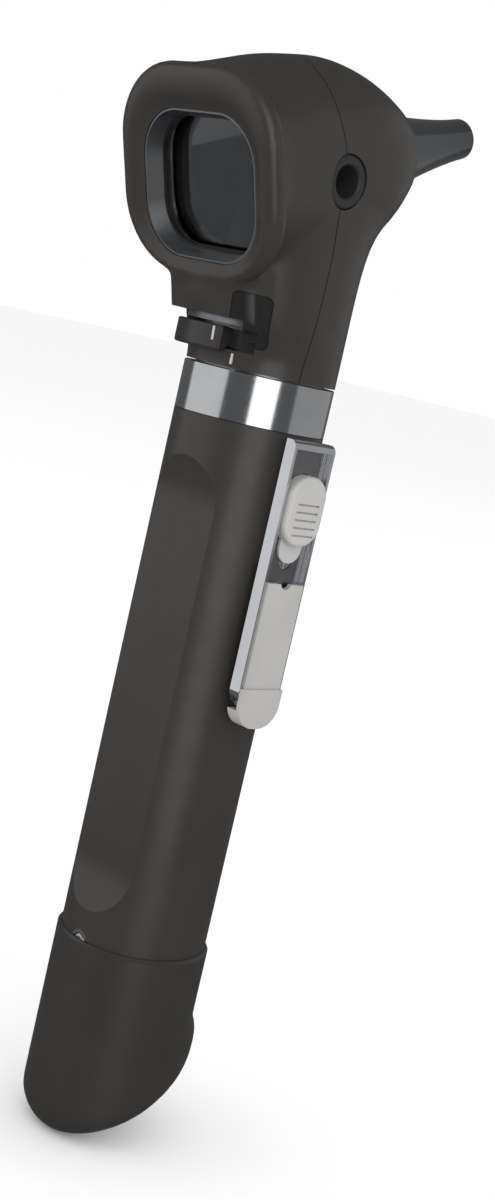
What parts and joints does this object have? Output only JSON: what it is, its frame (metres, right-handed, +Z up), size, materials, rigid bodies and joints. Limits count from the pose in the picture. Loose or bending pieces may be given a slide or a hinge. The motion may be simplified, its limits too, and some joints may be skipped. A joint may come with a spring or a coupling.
{
  "type": "otoscope",
  "caption": "Pocket otoscope: angled head with viewing window, port and speculum on a steel collar, and a battery handle with pocket clip, slide switch and slanted tail cap.",
  "frame": {"origin": "on the handle's axis, in the plane of the tail cap's rim", "axes": "+Z up the handle towards the head; the speculum points to +Y and 20 degrees up, the viewing window faces -Y and down, and the pocket clip is on +X"},
  "size_m": [0.03, 0.0573, 0.1597],
  "materials": {
    "body_plastic": "satin, fine moulded texture",
    "cap_plastic": "satin",
    "lever_plastic": "semi-gloss",
    "collar_steel": "polished",
    "clip_chrome": "polished",
    "track_steel": "satin",
    "slider_grey": "satin light grey",
    "cover_grey": "satin light grey",
    "screw_steel": "machined",
    "spring_steel": "drawn wire",
    "contact_brass": "plated",
    "cell_can": null,
    "liner_card": "plain",
    "seal_rubber": "matt",
    "badge_black": "gloss",
    "mark_white": "printed",
    "bezel_metal": "satin anodised",
    "frame_black": "gloss",
    "lens_glass": "polished",
    "port_rubber": "semi-matt",
    "speculum_grey": "gloss",
    "holder_metal": "satin",
    "fibre_glass": "polished ends",
    "sink_aluminium": "machined",
    "insulator_white": "plain",
    "led_white": "clear dome over phosphor",
    "sleeve_grey": "satin"
  },
  "bodies": {
    "handle": {"handle_tube": "body_plastic", "collar": "collar_steel", "cell_lower": "cell_can", "cell_upper": "cell_can", "cell_liner": "liner_card", "cap_seal": "seal_rubber", "catch_bush": "screw_steel", "catch_spring": "spring_steel", "clip_channel": "clip_chrome", "clip_track": "track_steel", "clip_cover": "cover_grey", "clip_screws": "screw_steel", "contact_strip": "contact_brass"},
    "tail_cap": {"tail_cap": "cap_plastic", "tail_contact": "contact_brass", "tail_spring": "spring_steel"},
    "catch": {"catch_pin": "screw_steel"},
    "switch": {"switch_slider": "slider_grey", "switch_wiper": "contact_brass"},
    "head": {"head_rear_shell": "body_plastic", "head_front_shell": "body_plastic", "head_screws": "screw_steel", "badge_plate": "badge_black", "shell_index_mark": "mark_white", "eyepiece_bezel": "bezel_metal", "lens_frame": "frame_black", "lens_gasket": "seal_rubber", "viewing_lens": "lens_glass", "insufflator_port": "port_rubber", "port_pipe": "insulator_white", "tip_holder": "holder_metal", "fibre_ring": "fibre_glass", "light_guide": "fibre_glass", "lamp_insulator": "insulator_white", "lamp_contact_pin": "contact_brass", "heat_sink": "sink_aluminium", "led_module": "led_white", "neck_sleeve": "sleeve_grey"},
    "lever": {"lock_lever": "lever_plastic", "lever_index_mark": "mark_white"},
    "speculum": {"speculum": "speculum_grey"}
  },
  "joints": [
    {"name": "head_lift", "type": "slide", "parent": "handle", "child": "head", "axis": [0, 0, 1], "range_m": [0, 0.015]},
    {"name": "lever_turn", "type": "hinge", "parent": "head", "child": "lever", "pos_m": [0, 0, 0.0883], "axis": [0, 0, 1], "range_deg": [0, 12]},
    {"name": "speculum_pull", "type": "slide", "parent": "head", "child": "speculum", "axis": [0, 0.9397, 0.342], "range_m": [0, 0.024]},
    {"name": "cap_pull", "type": "slide", "parent": "handle", "child": "tail_cap", "axis": [0, 0, -1], "range_m": [0, 0.04]},
    {"name": "catch_press", "type": "slide", "parent": "handle", "child": "catch", "axis": [0, 1, 0], "range_m": [0, 0.0008], "stiffness_N_per_m": 300},
    {"name": "switch_slide", "type": "slide", "parent": "handle", "child": "switch", "axis": [0, 0, -1], "range_m": [0, 0.005]}
  ]
}
